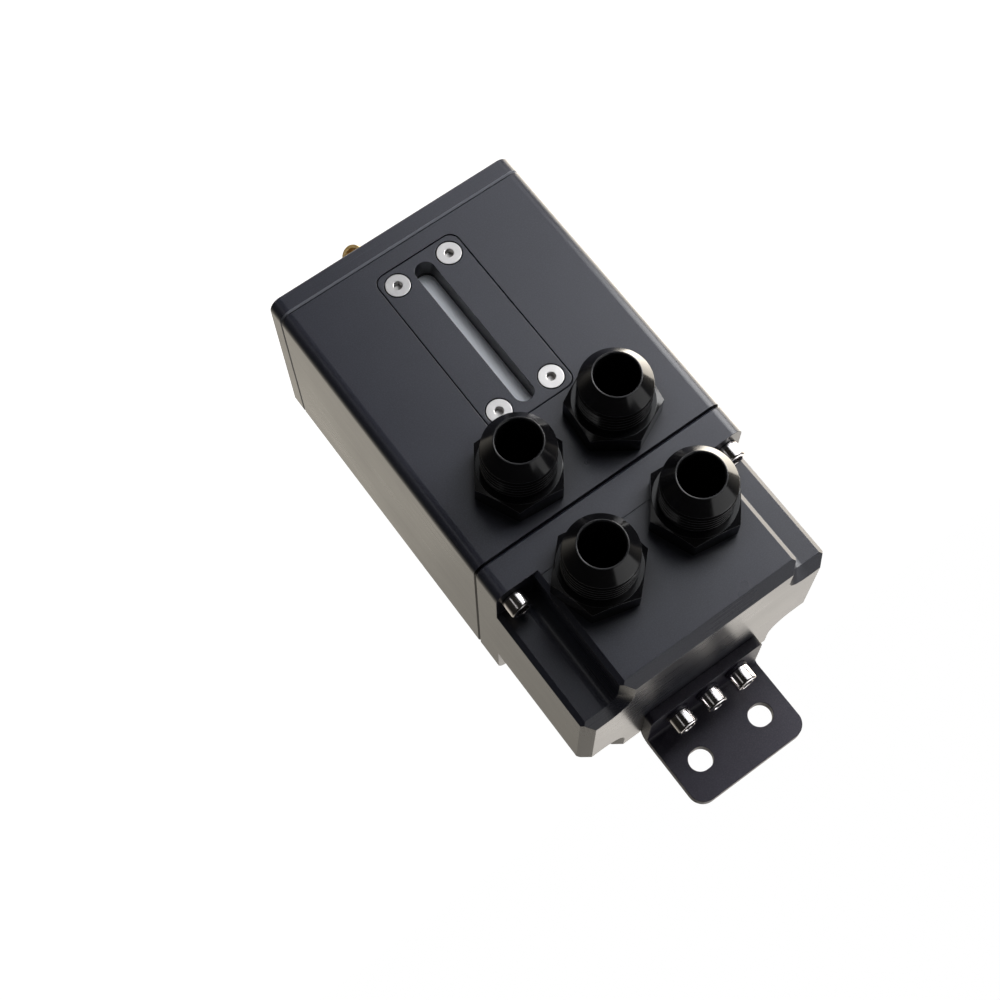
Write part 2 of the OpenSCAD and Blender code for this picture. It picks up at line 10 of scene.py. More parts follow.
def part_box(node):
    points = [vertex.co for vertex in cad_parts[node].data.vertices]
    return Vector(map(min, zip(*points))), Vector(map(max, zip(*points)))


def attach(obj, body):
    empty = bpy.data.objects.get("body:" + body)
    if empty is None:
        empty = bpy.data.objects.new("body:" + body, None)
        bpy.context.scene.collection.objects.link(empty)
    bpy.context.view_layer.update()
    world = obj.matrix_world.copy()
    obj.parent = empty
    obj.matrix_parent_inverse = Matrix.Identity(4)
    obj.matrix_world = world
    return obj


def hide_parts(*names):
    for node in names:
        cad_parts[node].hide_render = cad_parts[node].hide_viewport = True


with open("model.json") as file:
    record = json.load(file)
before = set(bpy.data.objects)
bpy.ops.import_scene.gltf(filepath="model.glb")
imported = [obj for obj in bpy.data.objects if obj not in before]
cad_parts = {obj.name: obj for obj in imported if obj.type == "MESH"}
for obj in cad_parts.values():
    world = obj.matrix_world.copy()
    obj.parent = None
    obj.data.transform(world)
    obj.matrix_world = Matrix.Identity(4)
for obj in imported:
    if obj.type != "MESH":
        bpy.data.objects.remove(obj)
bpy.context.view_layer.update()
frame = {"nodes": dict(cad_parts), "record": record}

nodes = frame["nodes"]

MM = 0.001
X, Y, Z = Vector((1.0, 0.0, 0.0)), Vector((0.0, 1.0, 0.0)), Vector((0.0, 0.0, 1.0))
ORIGIN = Vector((0.0, 0.0, 0.0))

# Camera: its place and two of its axes in the part's frame, and its lens on a 36 mm sensor
CAMERA_PLACE = Vector((0.129714, -0.519569, 0.065607))
CAMERA_RIGHT = Vector((-0.807488, 0.010634, 0.589788))
CAMERA_UP = Vector((-0.549955, -0.375171, -0.746188))
CAMERA_LENS = 61.15
CAMERA_SENSOR = 36.0
CLIP_START, CLIP_END = 0.01, 30.0

WHITE = (1.0, 1.0, 1.0)
COOL = (0.95, 0.97, 1.0)

# The studio as gloss sees it: the middle of its dark side, the cosines to that middle at which the
# dark begins and is full, and the level of the dark
DARK_SIDE = Vector((0.2133, -0.9269, 0.3088))
DARK_FROM = -0.80
DARK_TO = -0.10
DARK_LEVEL = 0.02
# Gloss sees it at full level in directions below LOW_Z, and at HIGH_LEVEL in those above HIGH_Z
LOW_Z = -0.46
HIGH_Z = -0.14
HIGH_LEVEL = 0.55
STUDIO_TINT = (1.0, 0.93, 0.81)
# Level of the light that comes from all round
FILL_LEVEL = 0.12

# Floor: its height, half its width, its end towards the camera, the glow that makes it white, its paint
FLOOR_Z = -0.6
FLOOR_HALF = 4.0
FLOOR_FRONT = -0.6
FLOOR_LIFT = 0.93
FLOOR_PAINT = (0.82, 0.82, 0.82)

# Lamps: all shine on one point of the can, from a direction and a distance in metres.
# Each is seen by matt colour, by gloss or by both
LAMP_TARGET = Vector((0.0, -0.045, -0.09))
Lamp = namedtuple("Lamp", "name toward watts distance width height colour matt gloss")
LAMPS = (
    Lamp("key", (-0.80, -0.59, -0.10), 1.15, 0.36, 0.22, 0.24, WHITE, True, True),
    Lamp("front", (-0.48, -0.84, -0.24), 1.2, 0.7, 0.42, 0.62, COOL, True, True),
    Lamp("fill", (-0.22, -0.94, -0.18), 1.9, 0.9, 0.3, 0.3, COOL, True, False),
    Lamp("overhead", (-0.36, 0.12, 0.92), 2.2, 0.9, 0.95, 0.95, WHITE, True, True),
    Lamp("back", (-0.25, 0.90, 0.33), 1.7, 0.9, 0.7, 0.7, (1.0, 0.95, 0.90), True, True),
    Lamp("low_back", (0.15, 0.82, -0.55), 0.10, 0.9, 0.5, 0.5, (1.0, 0.90, 0.74), True, True),
    Lamp("rim", (-0.86, 0.44, -0.34), 13.0, 0.9, 1.25, 0.85, (1.0, 0.92, 0.80), False, True),
    Lamp("strip", (0.62, -0.72, -0.28), 0.20, 0.9, 0.13, 0.8, WHITE, False, True),
    Lamp("glint", (-0.38, 0.42, 0.82), 1.5, 0.9, 0.4, 0.4, WHITE, False, True),
)

# Fitting, in mm from the can's face: its port thread, hexagon, neck, hose thread and 37 degree cone
PORT_END = -12.5
PORT_LEAD = 0.9
PORT_RELIEF = -2.6
FLATS = 25.4
HEX_H = 8.2
HEX_CORNER = 0.35
HEX_CHAMFER = 0.3
HEX_SLOPE_BELOW = 0.234
HEX_SLOPE_ABOVE = -0.577
NECK_R = 9.8
NECK_STEP = 0.12
NECK_TOP = HEX_H + 2.0
THREAD_R = 11.1
THREAD_DEPTH = 1.02
THREAD_LEAD = 0.4
PITCH = 1.814
# One turn of the thread: how far along the pitch, and how deep as a share of the depth
THREAD_FORM = ((0.0, 0.0), (0.14, 0.0), (0.32, 0.5), (0.50, 1.0), (0.62, 1.0), (0.81, 0.5))
RUN_OUT = 0.45
BORE_R = 6.65
TIP_R = 7.25
TIP_H = 24.6
CONE_R = THREAD_R - 0.2
CONE_Z = TIP_H - (CONE_R - TIP_R) / math.tan(math.radians(37.0))
GROOVE_Z = CONE_Z - 1.2
GROOVE_R = THREAD_R - 0.7
GROOVE_HALF = 0.5

# Cap screws, in mm: head, its rounded rim, the socket across its flats and its depth, and the shank
CAP_R = 3.7
CAP_H = 5.3
CAP_ROUND = 0.75
CAP_FLATS = 4.0
CAP_SOCKET = 2.6
CAP_FOOT = 0.15
CAP_SHANK_R = 2.5
CAP_POINT = 0.4

# Flat screws, in mm: the straight rim of the head, its rounding, the socket's depth and the point
FLAT_RIM = 0.25
FLAT_ROUND = 0.1
FLAT_SOCKET = 1.8
FLAT_POINT = 0.3

# Sockets, in mm: chamfer of the mouth, its slope, and the drill's point at the bottom
MOUTH_CHAMFER = 0.06
MOUTH_SLOPE = 0.7
DRILL_INSET = 0.15
DRILL_POINT = 0.45

# Width of a narrow ring that keeps the flat face beside a rounding flat in its shading, in mm
HOLD = 0.04

SEXTANT = math.radians(60.0)

# Axes of a turned piece (across, up, along) that faces the front, the top or the bottom
TO_FRONT = (X, Z, -Y)
TO_TOP = (X, Y, Z)
TO_BOTTOM = (X, -Y, -Z)


class Tree:
    """Adds nodes to a node tree. Most methods give the new node's output."""

    def __init__(self, tree):
        self.tree = tree

    def link(self, output, socket):
        self.tree.links.new(output, socket)

    def add(self, kind, links=None, values=None, **settings):
        node = self.tree.nodes.new(kind)
        for key, value in settings.items():
            setattr(node, key, value)
        for key, value in (values or {}).items():
            node.inputs[key].default_value = value
        for key, output in (links or {}).items():
            self.link(output, node.inputs[key])
        return node

    def feed(self, socket, value):
        """Gives a socket a number, an RGB colour or an output."""
        if isinstance(value, (int, float)):
            socket.default_value = value
        elif isinstance(value, tuple):
            socket.default_value = (*value, 1.0)
        else:
            self.link(value, socket)

    def spread(self, factor, low, high, start=0.3, end=0.7, form="LINEAR"):
        """The factor from start to end as a value from low to high."""
        ends = {"From Min": start, "From Max": end, "To Min": low, "To Max": high}
        node = self.add("ShaderNodeMapRange", {"Value": factor}, ends, interpolation_type=form)
        return node.outputs["Result"]

    def maths(self, operation, a, b):
        node = self.add("ShaderNodeMath", operation=operation)
        self.feed(node.inputs[0], a)
        self.feed(node.inputs[1], b)
        return node.outputs["Value"]

    def dot(self, a, b):
        """Dot product of an output and an output or a vector."""
        node = self.add("ShaderNodeVectorMath", {0: a}, operation="DOT_PRODUCT")
        if isinstance(b, Vector):
            node.inputs[1].default_value = b
        else:
            self.link(b, node.inputs[1])
        return node.outputs["Value"]

    def mix(self, factor, a, b):
        """Two numbers mixed by a factor."""
        node = self.add("ShaderNodeMix")
        for socket, value in zip((node.inputs[0], node.inputs[2], node.inputs[3]), (factor, a, b)):
            self.feed(socket, value)
        return node.outputs[0]

    def blend(self, factor, a, b):
        """Two colours mixed by a factor."""
        node = self.add("ShaderNodeMix", data_type="RGBA")
        for socket, value in zip((node.inputs[0], node.inputs[6], node.inputs[7]), (factor, a, b)):
            self.feed(socket, value)
        return node.outputs[2]


class Surface(Tree):
    """A node-based material, built round one Principled shader."""

    def __init__(self, name, **constants):
        self.material = bpy.data.materials.new(name)
        self.material.use_nodes = True
        super().__init__(self.material.node_tree)
        self.shader = self.tree.nodes["Principled BSDF"]
        for socket, value in constants.items():
            self.shader.inputs[socket].default_value = value
        self.place = self.add("ShaderNodeTexCoord").outputs["Object"]

    def noise(self, scale, detail=3.0, roughness=0.6, distortion=0.0, vector=None):
        node = self.add(
            "ShaderNodeTexNoise",
            {"Vector": vector or self.place},
            {"Scale": scale, "Detail": detail, "Roughness": roughness, "Distortion": distortion},
        )
        return node.outputs["Fac"]

    def streaks(self, scales, detail=2.0, roughness=0.5):
        """Noise with a scale of its own along each axis, for tool lines and scratches."""
        stretch = self.add("ShaderNodeMapping", {"Vector": self.place}, {"Scale": scales})
        return self.noise(1.0, detail, roughness, vector=stretch.outputs["Vector"])

    def cells(self, scale, feature="F1"):
        links = {"Vector": self.place}
        node = self.add("ShaderNodeTexVoronoi", links, {"Scale": scale}, feature=feature)
        return node.outputs["Distance"]

    def ramp(self, factor, *stops):
        """A colour ramp through (position, RGB colour) stops, two at least."""
        node = self.add("ShaderNodeValToRGB", {"Fac": factor})
        elements = node.color_ramp.elements
        for _ in stops[2:]:
            elements.new(0.5)
        for element, (position, colour) in zip(elements, stops):
            element.position = position
            element.color = (*colour, 1.0)
        return node.outputs["Color"]

    def round_edges(self, radius):
        node = self.add("ShaderNodeBevel", values={"Radius": radius}, samples=6)
        return node.outputs["Normal"]

    def bump(self, height, strength, distance, normal=None):
        links = {"Height": height}
        if normal is not None:
            links["Normal"] = normal
        node = self.add("ShaderNodeBump", links, {"Strength": strength, "Distance": distance})
        return node.outputs["Normal"]

    def surface_normal(self):
        return self.add("ShaderNodeNewGeometry").outputs["Normal"]

    def axis_part(self, axis):
        """How far the surface faces along one axis, from 0 to 1."""
        split = self.add("ShaderNodeSeparateXYZ", {"Vector": self.surface_normal()})
        return self.maths("ABSOLUTE", split.outputs[axis], 0.0)

    def painted_shade_mask(self, reach, closed, free):
        """Painted shade: 1 in recesses that are closed in, falling to 0 where the surface lies free."""
        node = self.add("ShaderNodeAmbientOcclusion", values={"Distance": reach}, samples=4)
        return self.spread(node.outputs["AO"], 1.0, 0.0, closed, free)

    def edge_mask(self, rounded):
        """Near 0 on flat faces, rising where the rounded normal leaves the surface's own."""
        return self.spread(self.dot(rounded, self.surface_normal()), 1.0, 0.0, 0.90, 0.998)

    def finish(self, colour, roughness, normal):
        """Joins the colour, roughness and normal to the shader."""
        self.link(colour, self.shader.inputs["Base Color"])
        self.link(roughness, self.shader.inputs["Roughness"])
        self.link(normal, self.shader.inputs["Normal"])
        return self.material


# Charcoal anodise: its two tones, and the paler tone of its edges
CHARCOAL_DARK = (0.0200, 0.0208, 0.0292)
CHARCOAL_LIGHT = (0.0293, 0.0305, 0.0410)
CHARCOAL_EDGE = (0.060, 0.062, 0.070)


def scaled(colour, factor):
    return tuple(factor * part for part in colour)


def machined_anodise(name, hairlines=0.0, bevel=None):
    """Milled and anodised aluminium: soft mottling, fine tool lines, paler edges and painted shade in
    recesses.

    hairlines is how far the tool lines show on the faces along Y, from 0 to 1. bevel is the tone and
    specular level of the sloping faces above and below, where they differ from the rest.
    """
    s = Surface(name, IOR=1.52)
    cloud = s.noise(26.0, roughness=0.5)
    grain = s.noise(2600.0, roughness=0.65)
    along = s.streaks((1900.0, 1900.0, 26.0), detail=3.0, roughness=0.6)
    across = s.streaks((26.0, 1900.0, 1900.0), detail=3.0, roughness=0.6)
    on_front = s.spread(s.axis_part("Y"), 0.0, 1.0, 0.4, 0.9)
    lines = s.blend(s.spread(s.axis_part("Z"), 0.0, 1.0, 0.4, 0.8), along, across)
    lines = s.blend(s.maths("MULTIPLY", on_front, 1.0 - 0.5 * hairlines), lines, (0.5, 0.5, 0.5))
    rounded = s.round_edges(0.0002)
    tone = s.ramp(cloud, (0.28, CHARCOAL_DARK), (0.74, CHARCOAL_LIGHT))
    tone = s.blend(s.spread(grain, 0.0, 0.8, 0.45, 0.75), tone, scaled(CHARCOAL_LIGHT, 1.5))
    scratches = s.maths("MULTIPLY", s.spread(across, 0.0, hairlines, 0.60, 0.72), on_front)
    tone = s.blend(scratches, tone, scaled(CHARCOAL_LIGHT, 2.0))
    tone = s.blend(s.edge_mask(rounded), tone, CHARCOAL_EDGE)
    # Painted shade: the colour darkens in recesses, round the fittings and in the joints
    painted_recess_shade = s.maths("MULTIPLY", s.painted_shade_mask(0.007, 0.45, 0.95), 0.75)
    tone = s.blend(painted_recess_shade, tone, scaled(CHARCOAL_DARK, 0.25))
    rough = s.maths("ADD", s.spread(lines, 0.27, 0.31), s.spread(cloud, -0.02, 0.03))
    # The sloping faces get their own tone: painted shade on the body's bevels, a painted highlight on
    # the plate's
    if bevel:
        bevel_tone, specular = bevel
        upright = s.axis_part("Z")
        sloping = s.spread(upright, 0.0, 1.0, 0.40, 0.50)
        not_level = s.spread(upright, 1.0, 0.0, 0.90, 0.97)
        on_bevel = s.maths("MULTIPLY", sloping, not_level)
        tone = s.blend(on_bevel, tone, bevel_tone)
        level = s.spread(on_bevel, 0.5, specular, 0.0, 1.0)
        s.link(level, s.shader.inputs["Specular IOR Level"])
    fine = s.bump(grain, 0.06, 0.00002, rounded)
    return s.finish(tone, rough, s.bump(lines, 0.03, 0.00002, fine))


def turned_anodise(name):
    """Glossy black anodise over fine turning lines, which run round the part's own axis."""
    s = Surface(name, IOR=1.5)
    turning = s.streaks((90.0, 9000.0, 90.0))
    cloud = s.noise(120.0)
    grain = s.noise(7000.0, detail=2.0, roughness=0.5)
    rounded = s.round_edges(0.00022)
    tone = s.ramp(cloud, (0.30, (0.0035, 0.0035, 0.0042)), (0.72, (0.0062, 0.0060, 0.0068)))
    tone = s.blend(s.edge_mask(rounded), tone, (0.090, 0.090, 0.095))
    rough = s.maths("ADD", s.spread(turning, 0.12, 0.19), s.spread(grain, -0.01, 0.02))
    return s.finish(tone, rough, s.bump(turning, 0.12, 0.00002, rounded))


def powder_coat(name):
    """Satin black powder coat with its fine orange peel."""
    s = Surface(name, IOR=1.5)
    peel = s.noise(1500.0)
    fine = s.noise(2600.0, detail=2.0)
    cloud = s.noise(70.0)
    tone = s.ramp(cloud, (0.30, (0.0165, 0.0138, 0.0262)), (0.75, (0.0250, 0.0213, 0.0372)))
    tone = s.blend(s.spread(fine, 0.0, 0.7, 0.45, 0.70), tone, (0.044, 0.039, 0.058))
    lumps = s.bump(peel, 0.30, 0.00005, s.round_edges(0.0004))
    return s.finish(tone, s.spread(peel, 0.40, 0.58), s.bump(fine, 0.25, 0.00002, lumps))


def plated_steel(name, colour, shade, rough_low, rough_high):
    """Steel with a bright finish, fine scratches, slight clouding and painted shade in its sockets and
    recesses.
    """
    s = Surface(name, Metallic=1.0)
    cloud = s.noise(300.0, detail=2.0, roughness=0.5)
    scratch = s.streaks((9000.0, 9000.0, 700.0))
    tone = s.ramp(cloud, (0.25, shade), (0.70, colour))
    # Painted shade: the colour darkens in the sockets and other recesses
    tone = s.blend(s.painted_shade_mask(0.0009, 0.20, 0.65), tone, (0.045, 0.043, 0.042))
    rough = s.maths("ADD", s.spread(scratch, rough_low, rough_high), s.spread(cloud, -0.02, 0.03))
    return s.finish(tone, rough, s.bump(scratch, 0.05, 0.00001, s.round_edges(0.00018)))


def brass(name):
    """Turned and stamped brass with faint tarnish."""
    s = Surface(name, Metallic=0.30)
    tarnish = s.noise(420.0, detail=4.0)
    turning = s.streaks((120.0, 120.0, 8000.0))
    rounded = s.round_edges(0.0002)
    tone = s.ramp(
        tarnish, (0.25, (0.62, 0.38, 0.13)), (0.55, (0.86, 0.60, 0.25)), (0.80, (0.92, 0.68, 0.34))
    )
    tone = s.blend(s.edge_mask(rounded), tone, (0.95, 0.74, 0.42))
    rough = s.maths("ADD", s.spread(turning, 0.32, 0.44), s.spread(tarnish, 0.05, -0.04))
    return s.finish(tone, rough, s.bump(turning, 0.12, 0.00003, rounded))


def window_plastic(name):
    """Milky sight glass with faint waves and dust."""
    s = Surface(name, IOR=1.49)
    wave = s.noise(60.0, detail=2.0, roughness=0.5)
    tone = s.ramp(wave, (0.3, (0.80, 0.83, 0.88)), (0.7, (0.86, 0.89, 0.94)))
    dust = s.spread(s.cells(1400.0), 0.35, 0.0, 0.04, 0.12)
    tone = s.blend(dust, tone, (0.92, 0.93, 0.95))
    return s.finish(tone, s.spread(wave, 0.10, 0.2), s.bump(wave, 0.2, 0.0001))


def rubber(name):
    """Black rubber with a dull, slightly dusty skin."""
    s = Surface(name, IOR=1.5)
    skin = s.noise(2600.0)
    bloom = s.noise(240.0)
    tone = s.ramp(bloom, (0.3, (0.010, 0.010, 0.010)), (0.8, (0.022, 0.021, 0.020)))
    return s.finish(tone, s.spread(skin, 0.50, 0.72), s.bump(skin, 0.25, 0.00003))


def rolled_steel(name):
    """Stainless sheet with rolling lines."""
    s = Surface(name, Metallic=1.0)
    rolling = s.streaks((30.0, 2600.0, 2600.0), detail=3.0, roughness=0.6)
    tone = s.ramp(rolling, (0.3, (0.42, 0.42, 0.42)), (0.7, (0.58, 0.57, 0.56)))
    relief = s.bump(rolling, 0.15, 0.00003, s.round_edges(0.0002))
    return s.finish(tone, s.spread(rolling, 0.28, 0.42), relief)


def knitted_wire(name):
    """Loose loops of fine wire."""
    s = Surface(name, Metallic=1.0)
    loops = s.cells(420.0, "DISTANCE_TO_EDGE")
    strands = s.noise(1500.0, roughness=0.7, distortion=2.0)
    tone = s.ramp(loops, (0.0, (0.60, 0.59, 0.57)), (0.25, (0.12, 0.12, 0.12)))
    return s.finish(tone, s.spread(strands, 0.25, 0.5), s.bump(strands, 0.8, 0.0004))


SLOTS = {
    "anodised_dark": machined_anodise("anodised_dark"),
    "anodised_black": turned_anodise("anodised_black"),
    "powder_coat": powder_coat("powder_coat"),
    "polished_steel": plated_steel("polished_steel", (0.80, 0.77, 0.77), (0.72, 0.69, 0.69), 0.13, 0.18),
    "zinc_steel": plated_steel("zinc_steel", (0.77, 0.755, 0.75), (0.69, 0.675, 0.67), 0.36, 0.42),
    "window_plastic": window_plastic("window_plastic"),
    "black_rubber": rubber("black_rubber"),
    "filter_steel": rolled_steel("filter_steel"),
    "filter_mesh": knitted_wire("filter_mesh"),
    "drain_brass": brass("drain_brass"),
}

# Nodes with a finish of their own within their slot: the body's bevels are painted black as painted
# shade in the joint grooves, and the plate has hairlines and bevels painted pale as a painted highlight
OWN_FINISH = {
    "body": machined_anodise("anodised_body", bevel=((0.002, 0.002, 0.003), 0.10)),
    "bottom_plate": machined_anodise("anodised_plate", 1.0, ((0.140, 0.145, 0.165), 0.60)),
}


def paint(piece, material):
    piece.data.materials.clear()
    piece.data.materials.append(material)


def paint_nodes():
    """Gives each node its own finish, or the finish of its slot in the record."""
    for part in frame["record"]["subparts"]:
        node = part["node"]
        paint(nodes[node], OWN_FINISH.get(node, SLOTS[part["material_slot"]]))


def new_piece(name, bm, place):
    mesh = bpy.data.meshes.new(name)
    bm.to_mesh(mesh)
    bm.free()
    piece = bpy.data.objects.new(name, mesh)
    piece.location = place
    bpy.context.scene.collection.objects.link(piece)
    return piece


# The outline of a turned piece is a list of rows. Each row gives (z, radius) in mm for an angle round
# the axis.
def ring(z, r):
    return lambda angle: (z, r)


def rings(*points):
    return [ring(z, r) for z, r in points]


def off_flat(angle):
    """Angle from the middle of a hexagon's nearest flat, for a hexagon with a corner at angle 0."""
    return angle % SEXTANT - SEXTANT / 2.0


def hexagon_radius(angle):
    """Radius of the fitting's round-cornered hexagon, in mm."""
    off = abs(off_flat(angle))
    inner = FLATS / 2.0 - HEX_CORNER
    if FLATS / 2.0 * math.tan(off) <= inner * math.tan(SEXTANT / 2.0):
        return FLATS / 2.0 / math.cos(off)
    turn = SEXTANT / 2.0 - off
    corner = inner / math.cos(SEXTANT / 2.0)
    return corner * math.cos(turn) + math.sqrt(HEX_CORNER**2 - (corner * math.sin(turn)) ** 2)


def hexagon_row(z, slope):
    """A row round the fitting's hexagon, whose corners are cut back from z by a cone."""
    edge = FLATS / 2.0 - HEX_CHAMFER
    return lambda angle: (z + (hexagon_radius(angle) - edge) * slope, hexagon_radius(angle))


def thread_row(start, end, turns, depth):
    """A row along the helix, some turns after its start, that runs out at both ends of the thread."""

    def row(angle):
        z = min(max(start + (turns + angle / math.tau) * PITCH, start), end)
        cut = min(1.0, (z - start) / (RUN_OUT * PITCH), (end - z) / (RUN_OUT * PITCH)) * depth
        return z, THREAD_R - THREAD_DEPTH * cut

    return row


def thread_rows(start, end):
    """Rows along a helical thread. The first turn starts one pitch early, to fill the whole length."""
    count = int((end - start) / PITCH) + 2
    steps = [(turn - 1 + phase, depth) for turn in range(count) for phase, depth in THREAD_FORM]
    return [thread_row(start, end, turns, depth) for turns, depth in steps]


def rim_rows(r, radius, steps):
    """Rows round the rim of a head whose side has radius r and whose face lies at 0."""
    turns = [math.radians(90.0 * i / steps) for i in range(steps + 1)]
    rim = [(radius * math.sin(t) - radius, r - radius + radius * math.cos(t)) for t in turns]
    return rings(*rim, (0.0, r - radius - HOLD))


def socket_rows(flats, depth):
    """Rows down a hexagon socket, from its chamfered mouth to the drill point at its bottom."""
    mouth = flats / 2.0 / math.cos(SEXTANT / 2.0) + MOUTH_CHAMFER

    def side(angle):
        return flats / 2.0 / math.cos(off_flat(angle))

    def top(angle):
        return (side(angle) - mouth) * MOUTH_SLOPE, side(angle)

    def bottom(angle):
        return -depth, side(angle)

    drill = rings((-depth, flats / 2.0 - DRILL_INSET), (-depth - DRILL_POINT, 0.0))
    return rings((0.0, mouth + HOLD), (0.0, mouth)) + [top, bottom] + drill


def fitting_rows():
    """Outline of a fitting from its inner end to its tip, and back through its bore."""
    edge = FLATS / 2.0 - HEX_CHAMFER
    thread_start, thread_end = NECK_TOP + THREAD_LEAD, GROOVE_Z - GROOVE_HALF
    port_start = PORT_END + PORT_LEAD
    port = rings((PORT_END, BORE_R), (PORT_END, THREAD_R - PORT_LEAD), (port_start, THREAD_R))
    port += thread_rows(port_start, PORT_RELIEF)
    port += rings((PORT_RELIEF, THREAD_R), (PORT_RELIEF, NECK_R), (0.0, NECK_R), (0.0, edge))
    hexagon = [hexagon_row(0.0, HEX_SLOPE_BELOW), hexagon_row(HEX_H, HEX_SLOPE_ABOVE)]
    neck = rings(
        (HEX_H, edge),
        (HEX_H, NECK_R),
        (HEX_H + 0.2, NECK_R - NECK_STEP),
        (NECK_TOP - 0.7, NECK_R - NECK_STEP),
        (NECK_TOP, THREAD_R - 0.3),
        (thread_start, THREAD_R),
    )
    groove = rings(
        (thread_end, THREAD_R),
        (GROOVE_Z, GROOVE_R),
        (GROOVE_Z + GROOVE_HALF, GROOVE_R),
        (GROOVE_Z + 0.8, CONE_R - 0.05),
        (GROOVE_Z + 0.9, CONE_R),
    )
    tip = rings(
        (CONE_Z, CONE_R),
        (TIP_H - 0.12, TIP_R + 0.09),
        (TIP_H - 0.03, TIP_R + 0.02),
        (TIP_H, TIP_R - 0.06),
        (TIP_H, BORE_R + 0.34),
        (TIP_H - 0.05, BORE_R + 0.22),
        (TIP_H - 0.34, BORE_R),
    )
    return port + hexagon + neck + thread_rows(thread_start, thread_end) + groove + tip


def cap_screw_rows(length):
    """Outline of a socket cap screw from the end of its shank, in mm below the top of its head."""
    end = -CAP_H - length
    shank = rings((end, 0.0), (end, CAP_SHANK_R - CAP_POINT), (end + CAP_POINT, CAP_SHANK_R))
    shank += rings((-CAP_H, CAP_SHANK_R))
    foot = rings((-CAP_H, CAP_R - CAP_FOOT), (-CAP_H + CAP_FOOT, CAP_R))
    return shank + foot + rim_rows(CAP_R, CAP_ROUND, 5) + socket_rows(CAP_FLATS, CAP_SOCKET)


def flat_screw_rows(head_r, shank_r, length, flats):
    """Outline of a countersunk screw from the end of its shank, in mm below the top of its head."""
    shank = rings((-length, 0.0), (-length, shank_r - FLAT_POINT), (FLAT_POINT - length, shank_r))
    cone = rings((shank_r - head_r - FLAT_RIM, shank_r), (-FLAT_RIM, head_r))
    return shank + cone + rim_rows(head_r, FLAT_ROUND, 3) + socket_rows(flats, FLAT_SOCKET)


def angles_of(steps):
    """Angles round a full turn, from the steps in degrees that repeat in each sixth of it."""
    return [math.radians(60.0 * sixth + step) for sixth in range(6) for step in steps]


# The fittings have closer steps beside the hexagon's corners than on its flats
CORNER_STEPS = [0.0, 0.45, 0.9, 1.35, 58.65, 59.1, 59.55]
FITTING_ANGLES = angles_of(sorted(CORNER_STEPS + [2.0 * i for i in range(1, 30)]))
SCREW_ANGLES = angles_of([4.0 * i for i in range(15)])


def add_turned(bm, rows, angles, turn, place, axes, closed=False):
    """Adds the surface through an outline's rows, turned about an axis and placed in metres.

    Each row gives a loop of points. The last stands for the full turn, where a helix is one pitch on.
    """
    across, up, along = axes
    loops = []
    for row in rows:
        loop = []
        for angle in [*angles, math.tau]:
            z, r = row(angle)
            heading = angle % math.tau + turn
            outward = across * math.cos(heading) + up * math.sin(heading)
            loop.append(bm.verts.new(place + (outward * r + along * z) * MM))
        loops.append(loop)
    for here, after in zip(loops, loops[1:] + loops[:1] if closed else loops[1:]):
        for j in range(len(angles)):
            bm.faces.new((here[j], here[j + 1], after[j + 1], after[j]))


def finish_mesh(bm, degrees):
    """Welds a turned surface, and shades it smooth except over edges that turn by more than an angle."""
    bmesh.ops.remove_doubles(bm, verts=bm.verts, dist=2e-6)
    bmesh.ops.dissolve_degenerate(bm, edges=bm.edges, dist=1e-6)
    bmesh.ops.recalc_face_normals(bm, faces=bm.faces)
    for face in bm.faces:
        face.smooth = True
    for edge in bm.edges:
        if len(edge.link_faces) == 2 and edge.calc_face_angle(0.0) > math.radians(degrees):
            edge.smooth = False


def stand_for(piece, node, slot):
    """Puts a built piece in a node's place, with the slot's finish. All of them are fixed to the can."""
    paint(piece, SLOTS[slot])
    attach(piece, "can")
    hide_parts(node)


def make_fitting(node, turn):
    """A fitting with its threads, whose hexagon is turned by an angle in degrees."""
    low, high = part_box(node)
    bm = bmesh.new()
    add_turned(bm, fitting_rows(), FITTING_ANGLES, math.radians(turn), ORIGIN, TO_FRONT, closed=True)
    finish_mesh(bm, 24.0)
    place = Vector(((low[0] + high[0]) / 2.0, low[1] + TIP_H * MM, (low[2] + high[2]) / 2.0))
    stand_for(new_piece(node.replace("fitting", "threaded_fitting"), bm, place), node, "anodised_black")


def spaced(low, high, inset, count):
    """Evenly spaced places between two ends that lie an inset inside low and high, or the middle."""
    if count == 1:
        return [(low + high) / 2.0]
    return [low + inset + (high - low - 2.0 * inset) * i / (count - 1) for i in range(count)]


def screw_places(node, head_r, axes, columns, lines):
    """Middles of the heads' tops, for screws in a grid that fills their node's box."""
    low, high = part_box(node)
    inset = head_r * MM
    across = spaced(low[0], high[0], inset, columns)
    if axes is TO_FRONT:
        return [Vector((x, low[1], z)) for x in across for z in spaced(low[2], high[2], inset, lines)]
    z = high[2] if axes is TO_TOP else low[2]
    return [Vector((x, y, z)) for x in across for y in spaced(low[1], high[1], inset, lines)]


def make_screws(node, name, slot, rows, places, axes, socket_turns):
    bm = bmesh.new()
    for place, turn in zip(places, socket_turns):
        add_turned(bm, rows, SCREW_ANGLES, math.radians(turn), place, axes)
    finish_mesh(bm, 30.0)
    stand_for(new_piece(name, bm, ORIGIN), node, slot)


